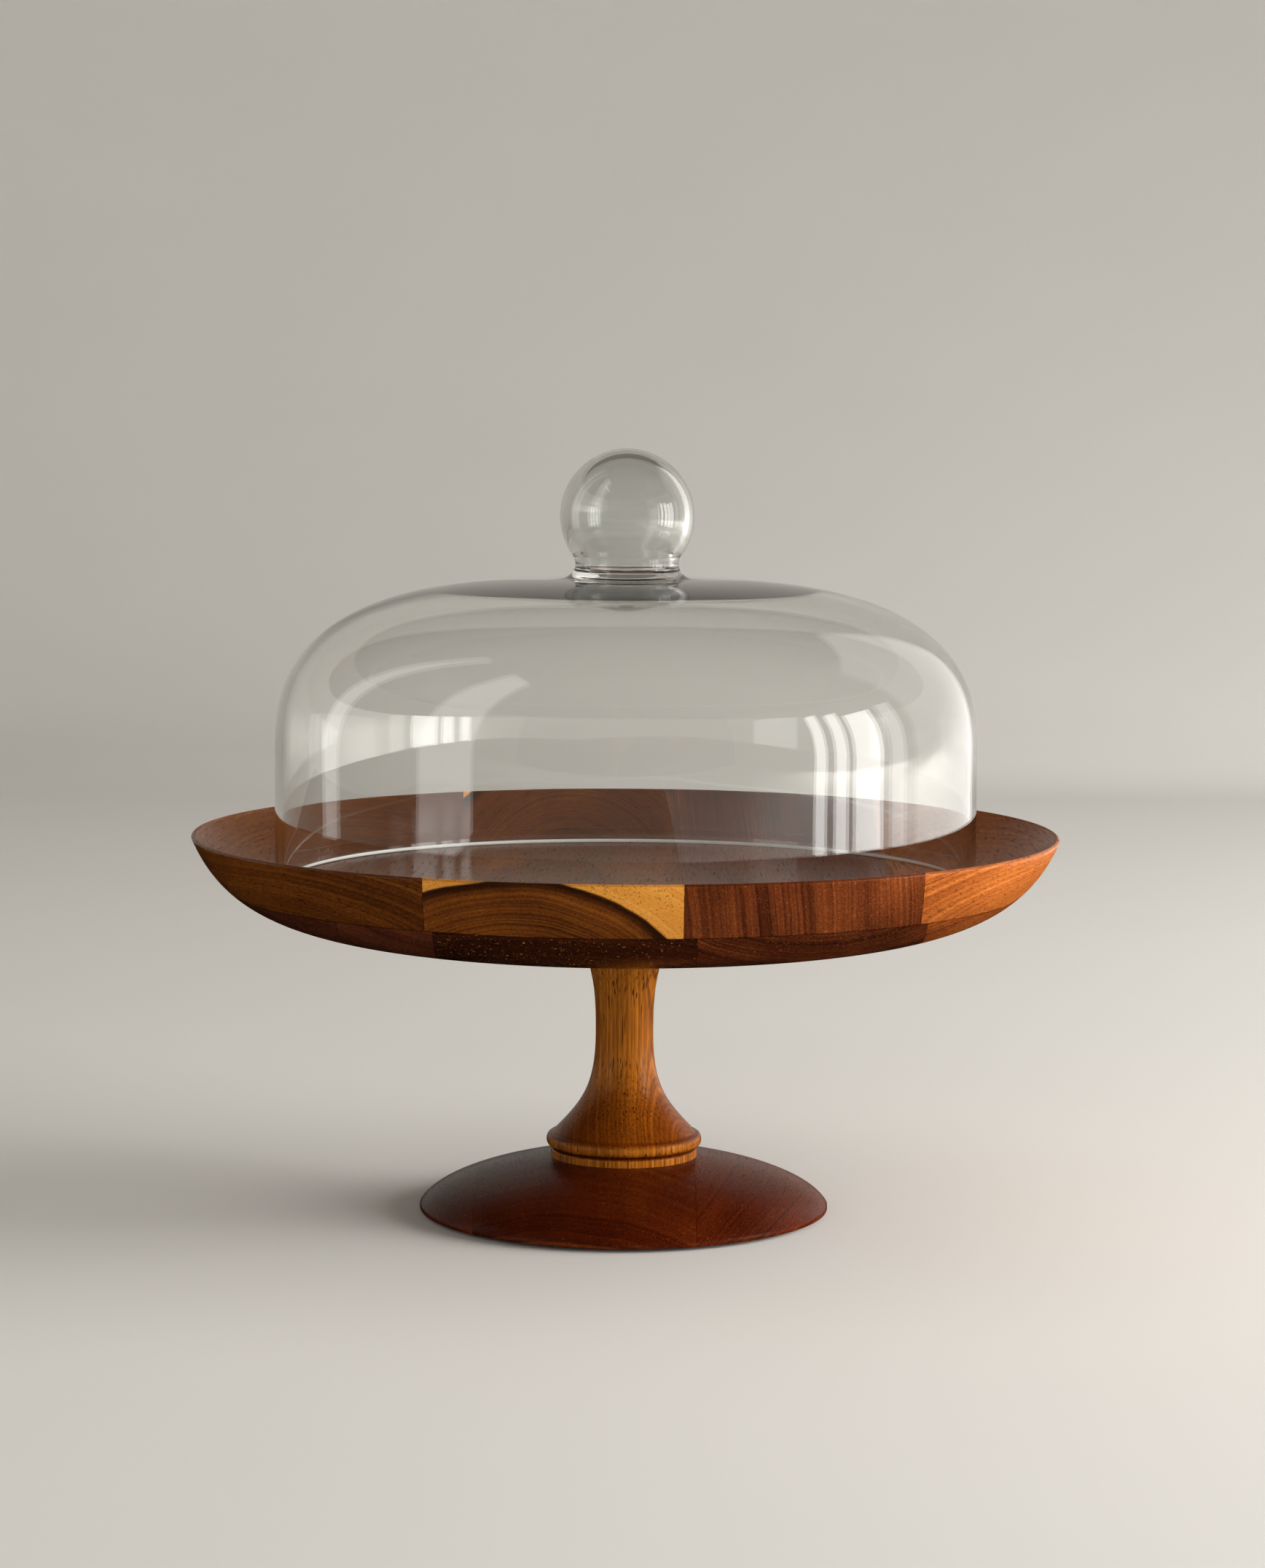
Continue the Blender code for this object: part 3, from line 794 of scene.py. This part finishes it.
def glassOutline():
    ball = arcRound(
        (0.0, knob["centre"]), knob["radius"], 90, knob["leaveAngle"], knob["ballSteps"]
    )
    start = ball[-1]
    end = (knob["flare"], dome["crownTop"] + knob["weld"] / 2)
    third = (start[1] - end[1]) / 3
    leave = (start[0] - knob["turnIn"], start[1] - third)
    arrive = (knob["neck"] - knob["turnIn"], end[1] + third)
    outer = ball + curveBetween(start, leave, arrive, end, knob["neckSteps"])
    crown = crownLine(dome["crownSteps"])
    outer += [point for point in crown if point[0] > knob["flare"] + knob["weld"]]
    low = dome["bottom"] + dome["rimRound"]
    shoulder = crown[-1][1]
    innerRadius = dome["radius"] - dome["wall"]
    rise = (shoulder - low) / dome["wallSteps"]
    wall = [(dome["radius"], shoulder - rise * i) for i in range(1, dome["wallSteps"])]
    innerWall = [(innerRadius, low + rise * i) for i in range(1, dome["wallSteps"] + 1)]
    turn = dome["rimRound"]
    outerRim = arcRound((dome["radius"] - turn, low), turn, 0, -90, dome["rimSteps"])
    innerRim = arcRound((innerRadius + turn, low), turn, -90, -180, dome["rimSteps"])
    return outer + wall + outerRim + innerRim + innerWall + innerLine(crown)[::-1]


def hollowOutline():
    inner = knob["radius"] - knob["wall"]
    floor = dome["crownTop"] + knob["hollowFloor"]
    lowest = knob["leaveAngle"] - knob["hollowLean"]
    ball = arcRound((0.0, knob["centre"]), inner, 90, lowest, knob["ballSteps"])
    corner = knob["hollowCorner"]
    start = ball[-1]
    end = (knob["hollowFoot"], floor + corner)
    third = (start[1] - end[1]) / 3
    leave = (start[0] - knob["hollowNeck"], start[1] - third)
    neck = curveBetween(start, leave, (end[0], end[1] + third), end, knob["bendSteps"])
    turn = arcRound((end[0] - corner, end[1]), corner, 0, -90, knob["cornerSteps"])[1:]
    middle = [(end[0] * 0.4, floor - knob["hollowDip"] / 2), (0.0, floor - knob["hollowDip"])]
    return ball + neck + turn + middle


def glassMaterial():
    material = bpy.data.materials.new("blownGlass")
    material.use_nodes = True
    tree = material.node_tree
    shader = tree.nodes["Principled BSDF"]
    shader.inputs["IOR"].default_value = glassFinish["ior"]
    coords = addNode(tree, "ShaderNodeTexCoord", {})
    spot = addNode(tree, "ShaderNodeSeparateXYZ", {0: coords.outputs["Object"]})
    # the thick glass of the knob is greyer than the thin wall
    heights = [dome["crownTop"] + rise for rise in glassFinish["knobFade"]]
    inKnob = fade(tree, spot.outputs["Z"], *heights)
    colour = blendTints(tree, "MIX", inKnob, glassFinish["wall"], glassFinish["knob"])
    tree.links.new(colour, shader.inputs["Base Color"])
    # the foot of the wall is ground flat, so it is frosted
    ground = dome["bottom"] + dome["groundEdge"]
    edge = (ground, ground + glassFinish["groundFade"])
    frost = fade(tree, spot.outputs["Z"], *edge, glassFinish["frost"], 0.0)
    tree.links.new(frost, shader.inputs["Roughness"])
    clearness = fade(tree, spot.outputs["Z"], *edge, glassFinish["groundClear"], 1.0)
    tree.links.new(clearness, shader.inputs["Transmission Weight"])
    ripples = noiseOf(tree, coords, glassFinish["ripples"], 1.0)
    feeds = {
        "Height": ripples,
        "Strength": glassFinish["rippleHeight"],
        "Distance": glassFinish["rippleDepth"],
    }
    bump = addNode(tree, "ShaderNodeBump", feeds)
    tree.links.new(bump.outputs["Normal"], shader.inputs["Normal"])
    # lets lamp light through to what stands inside
    path = addNode(tree, "ShaderNodeLightPath", {})
    clear = addNode(tree, "ShaderNodeBsdfTransparent", {"Color": glassFinish["lampPath"]})
    rays = [path.outputs["Is Shadow Ray"], path.outputs["Is Diffuse Ray"]]
    straight = maths(tree, "MAXIMUM", *rays)
    feeds = {0: straight, 1: shader.outputs[0], 2: clear.outputs[0]}
    mixed = addNode(tree, "ShaderNodeMixShader", feeds)
    tree.links.new(mixed.outputs[0], tree.nodes["Material Output"].inputs["Surface"])
    return material


glassPiece = turnOnLathe("blownBell", glassOutline(), dome["steps"])
hollow = turnOnLathe("knobHollow", hollowOutline(), knob["steps"])
pickUp(hollow)
bpy.ops.object.mode_set(mode="EDIT")
bpy.ops.mesh.select_all(action="SELECT")
bpy.ops.mesh.flip_normals()  # the glass is outside this skin
bpy.ops.object.mode_set(mode="OBJECT")
pickUp(glassPiece)
hollow.select_set(True)
bpy.ops.object.join()
glassNodes = ["glass_dome", "ball_knob"]
glass = glassMaterial()
finishPiece(glassPiece, "dome", glassNodes, glass, dome["smoothBelow"])
print("glass blown")


# pads and screws

pads = {
    "round": 0.0003,
    "roundSteps": 3,
    "sides": 64,
    "grit": 1800.0,
    "dust": 160.0,
    "black": (30, 29, 28),
    "dusty": (52, 50, 47),
    "roughness": (0.62, 0.85),
    "bump": 0.3,
    "bumpDepth": 0.0001,
}
screws = {
    "mottle": 420.0,
    "scratches": 2400.0,
    "dull": (176, 176, 170),
    "bright": (206, 205, 200),
    "roughness": (0.24, 0.42),
}


def rubberMaterial():
    material = bpy.data.materials.new("softRubber")
    material.use_nodes = True
    tree = material.node_tree
    shader = tree.nodes["Principled BSDF"]
    coords = addNode(tree, "ShaderNodeTexCoord", {})
    grit = noiseOf(tree, coords, pads["grit"], 2.0)
    dust = noiseOf(tree, coords, pads["dust"], 3.0)
    colour = ramp(tree, dust, [(0.35, tint(*pads["black"])), (0.7, tint(*pads["dusty"]))])
    tree.links.new(colour, shader.inputs["Base Color"])
    roughness = fade(tree, grit, 0.2, 0.8, *pads["roughness"])
    tree.links.new(roughness, shader.inputs["Roughness"])
    feeds = {"Height": grit, "Strength": pads["bump"], "Distance": pads["bumpDepth"]}
    bump = addNode(tree, "ShaderNodeBump", feeds)
    tree.links.new(bump.outputs["Normal"], shader.inputs["Normal"])
    return material


def steelMaterial():
    material = bpy.data.materials.new("zincSteel")
    material.use_nodes = True
    tree = material.node_tree
    shader = tree.nodes["Principled BSDF"]
    coords = addNode(tree, "ShaderNodeTexCoord", {})
    mottle = noiseOf(tree, coords, screws["mottle"], 4.0)
    scratches = noiseOf(tree, coords, screws["scratches"], 1.0)
    colour = ramp(tree, mottle, [(0.3, tint(*screws["dull"])), (0.7, tint(*screws["bright"]))])
    tree.links.new(colour, shader.inputs["Base Color"])
    shader.inputs["Metallic"].default_value = 1.0
    roughness = fade(tree, scratches, 0.3, 0.7, *screws["roughness"])
    tree.links.new(roughness, shader.inputs["Roughness"])
    return material


rubber = rubberMaterial()
for i in range(4):
    low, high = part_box(f"foot_pad_{i + 1}")
    middle = (low + high) / 2
    letGo()
    bpy.ops.mesh.primitive_cylinder_add(
        vertices=pads["sides"],
        radius=(high.x - low.x) / 2,
        depth=foot["underside"] - low.z,
        location=(middle.x, middle.y, (foot["underside"] + low.z) / 2),
    )
    pad = bpy.context.object
    pad.name = f"rubberPad{i + 1}"
    bpy.ops.object.transform_apply(location=True, rotation=True, scale=True)
    bpy.ops.object.mode_set(mode="EDIT")
    bpy.ops.mesh.select_all(action="DESELECT")
    bpy.ops.object.mode_set(mode="OBJECT")
    for edge in pad.data.edges:
        heights = [pad.data.vertices[v].co.z for v in edge.vertices]
        edge.select = abs(heights[0] - heights[1]) < 0.00001
    bpy.ops.object.mode_set(mode="EDIT")
    bpy.ops.mesh.bevel(offset=pads["round"], segments=pads["roundSteps"])
    bpy.ops.object.mode_set(mode="OBJECT")
    finishPiece(pad, "stand", [f"foot_pad_{i + 1}"], rubber)
steel = steelMaterial()
for name in ("dowel_screw", "foot_screw"):
    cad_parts[name].data.materials.clear()
    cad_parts[name].data.materials.append(steel)
print("pads and screws fitted")


# the studio

studio = {
    "floorReach": 4.4,
    "coveRadius": 2.4,
    "wallTop": 2.8,
    "floorRings": (0.6, 1.4),
    "coveSteps": 24,
    "steps": 96,
    "paper": (231, 229, 225),
    "card": (12, 11, 10),
    "toneChange": 2,
    "roomLight": 0.16,
    "roomTint": (1.0, 0.93, 0.80, 1),
    "dayTint": (1.0, 0.98, 0.95),
}


def matteMaterial(name, shade):
    material = bpy.data.materials.new(name)
    material.use_nodes = True
    tree = material.node_tree
    shader = tree.nodes["Principled BSDF"]
    coords = addNode(tree, "ShaderNodeTexCoord", {})
    tooth = noiseOf(tree, coords, 3.0, 2.0)
    low = tint(*[value - studio["toneChange"] for value in shade])
    colour = ramp(tree, tooth, [(0.3, low), (0.7, tint(*shade))])
    tree.links.new(colour, shader.inputs["Base Color"])
    shader.inputs["Roughness"].default_value = 0.9
    shader.inputs["Specular IOR Level"].default_value = 0.0
    return material


cove = studio["coveRadius"]
bend = arcRound((studio["floorReach"] - cove, cove), cove, -90, 0, studio["coveSteps"])
flat = [(0.0, 0.0), *[(radius, 0.0) for radius in studio["floorRings"]]]
coveLine = [*flat, *bend, (studio["floorReach"], studio["wallTop"])]
backdrop = turnOnLathe("studioFloor", coveLine, studio["steps"])
pickUp(backdrop)
bpy.ops.object.mode_set(mode="EDIT")
bpy.ops.mesh.select_all(action="SELECT")
bpy.ops.mesh.normals_make_consistent(inside=True)
bpy.ops.object.mode_set(mode="OBJECT")
bpy.ops.object.shade_smooth_by_angle(angle=radians(60))
backdrop.data.materials.append(matteMaterial("palePaper", studio["paper"]))

# black cards keep the shine on the wood and glass deep; only shine shows them
blackCard = matteMaterial("blackCard", studio["card"])
cards = {  # place, degrees about X, half width and half height
    "standingCard": ((0, -2.5, 1.0), 90, (1.7, 1.0)),
    "lyingCard": ((-0.7, -0.7, 0.001), 0, (1.1, 1.6)),
    "ceilingCard": ((0, 0.2, 2.35), 0, (1.7, 1.0)),
}
for name, (place, turned, half) in cards.items():
    letGo()
    bpy.ops.mesh.primitive_plane_add(size=2, location=place, rotation=(radians(turned), 0, 0))
    card = bpy.context.object
    card.name = name
    card.scale = (*half, 1.0)
    bpy.ops.object.transform_apply(location=True, rotation=True, scale=True)
    card.data.materials.append(blackCard)
    card.visible_camera = False
    card.visible_diffuse = False
    card.visible_transmission = False
    card.visible_shadow = False


def hangLight(name, place, target, size, power, shine=True):
    letGo()
    bpy.ops.object.light_add(type="AREA", location=place)
    lamp = bpy.context.object
    lamp.name = name
    lamp.rotation_mode = "QUATERNION"
    lamp.rotation_quaternion = (Vector(target) - Vector(place)).to_track_quat("-Z", "Y")
    lamp.data.shape = "RECTANGLE"
    lamp.data.size, lamp.data.size_y = size
    lamp.data.energy = power
    lamp.data.color = studio["dayTint"]
    lamp.visible_camera = False
    lamp.visible_transmission = shine
    lamp.visible_glossy = shine
    return lamp


# three tall panes to the right, low enough to show down the whole wall of the glass
panes = {"away": 0.95, "foot": 0.02, "radiance": 5.0}
paneEdges = [(-0.563, -0.477, 0.66), (-0.413, -0.320, 0.62), (-0.272, -0.074, 0.56)]
for i, (near, far, top) in enumerate(paneEdges):
    place = (panes["away"], (near + far) / 2, (top + panes["foot"]) / 2)
    target = (0, place[1], place[2])
    size = (far - near, top - panes["foot"])
    hangLight(f"pane{i + 1}", place, target, size, panes["radiance"] * pi * size[0] * size[1])

# dimmer things that only shine: a curtain and a pale wall to the right, two strips to the left
shineOnly = {  # place, what it faces along Y, size and radiance
    "curtain": ((0.95, 0.050, 0.30), 0.050, (0.12, 0.56), 1.5),
    "paleWall": ((0.84, 0.62, 0.66), 0.0, (0.90, 1.30), 0.55),
    "nearStrip": ((-0.95, -0.64, 1.12), -0.64, (0.44, 2.20), 1.5),
    "farStrip": ((-0.95, 0.245, 1.12), 0.245, (0.15, 2.20), 1.2),
}
for name, (place, facesY, size, radiance) in shineOnly.items():
    target = (0, facesY, place[2])
    lamp = hangLight(name, place, target, size, radiance * pi * size[0] * size[1])
    lamp.visible_diffuse = False

# big soft lights that don't show in the shine
softLights = {  # place, target, size and watts
    "windowGlow": ((1.9, -0.3, 1.75), (0, 0, 0.1), (2.4, 2.0), 12.0),
    "windowLow": ((2.2, -0.4, 0.6), (0, 0, 0.1), (1.7, 0.9), 54.0),
    "overhead": ((0.1, 0.1, 2.2), (0, 0, 0), (2.6, 2.6), 6.0),
    "lowRight": ((1.9, 0.6, 0.55), (0.2, 1.5, 0), (1.2, 0.8), 20.0),
    "lowWall": ((1.2, 1.6, 0.9), (1.2, 3.6, 0.8), (2.0, 0.9), 9.0),
    "frontBig": ((-0.6, -2.4, 0.9), (0, 0, 0.1), (3.0, 1.4), 14.0),
}
for name, (place, target, size, power) in softLights.items():
    hangLight(name, place, target, size, power, False)

room = bpy.data.worlds.new("room")
bpy.context.scene.world = room
room.use_nodes = True
sky = room.node_tree.nodes["Background"]
sky.inputs["Color"].default_value = studio["roomTint"]
sky.inputs["Strength"].default_value = studio["roomLight"]
bpy.context.scene.view_settings.view_transform = "Standard"

camera = {
    "place": (0.00255, -1.5, 0.3138),
    "down": 5.67,  # degrees below level
    "roll": 0.32,
    "lens": 90.71,
    "sensor": 36,
}
bpy.ops.object.camera_add(location=camera["place"])
viewer = bpy.context.object
viewer.name = "viewer"
viewer.rotation_mode = "XYZ"
viewer.rotation_euler = (radians(90 - camera["down"]), 0, 0)
viewer.rotation_mode = "QUATERNION"
roll = Quaternion((0, 0, 1), radians(camera["roll"]))
viewer.rotation_quaternion = viewer.rotation_quaternion @ roll
viewer.data.sensor_width = camera["sensor"]
viewer.data.lens = camera["lens"]
viewer.data.clip_start = 0.01
bpy.context.scene.camera = viewer
print("studio set")
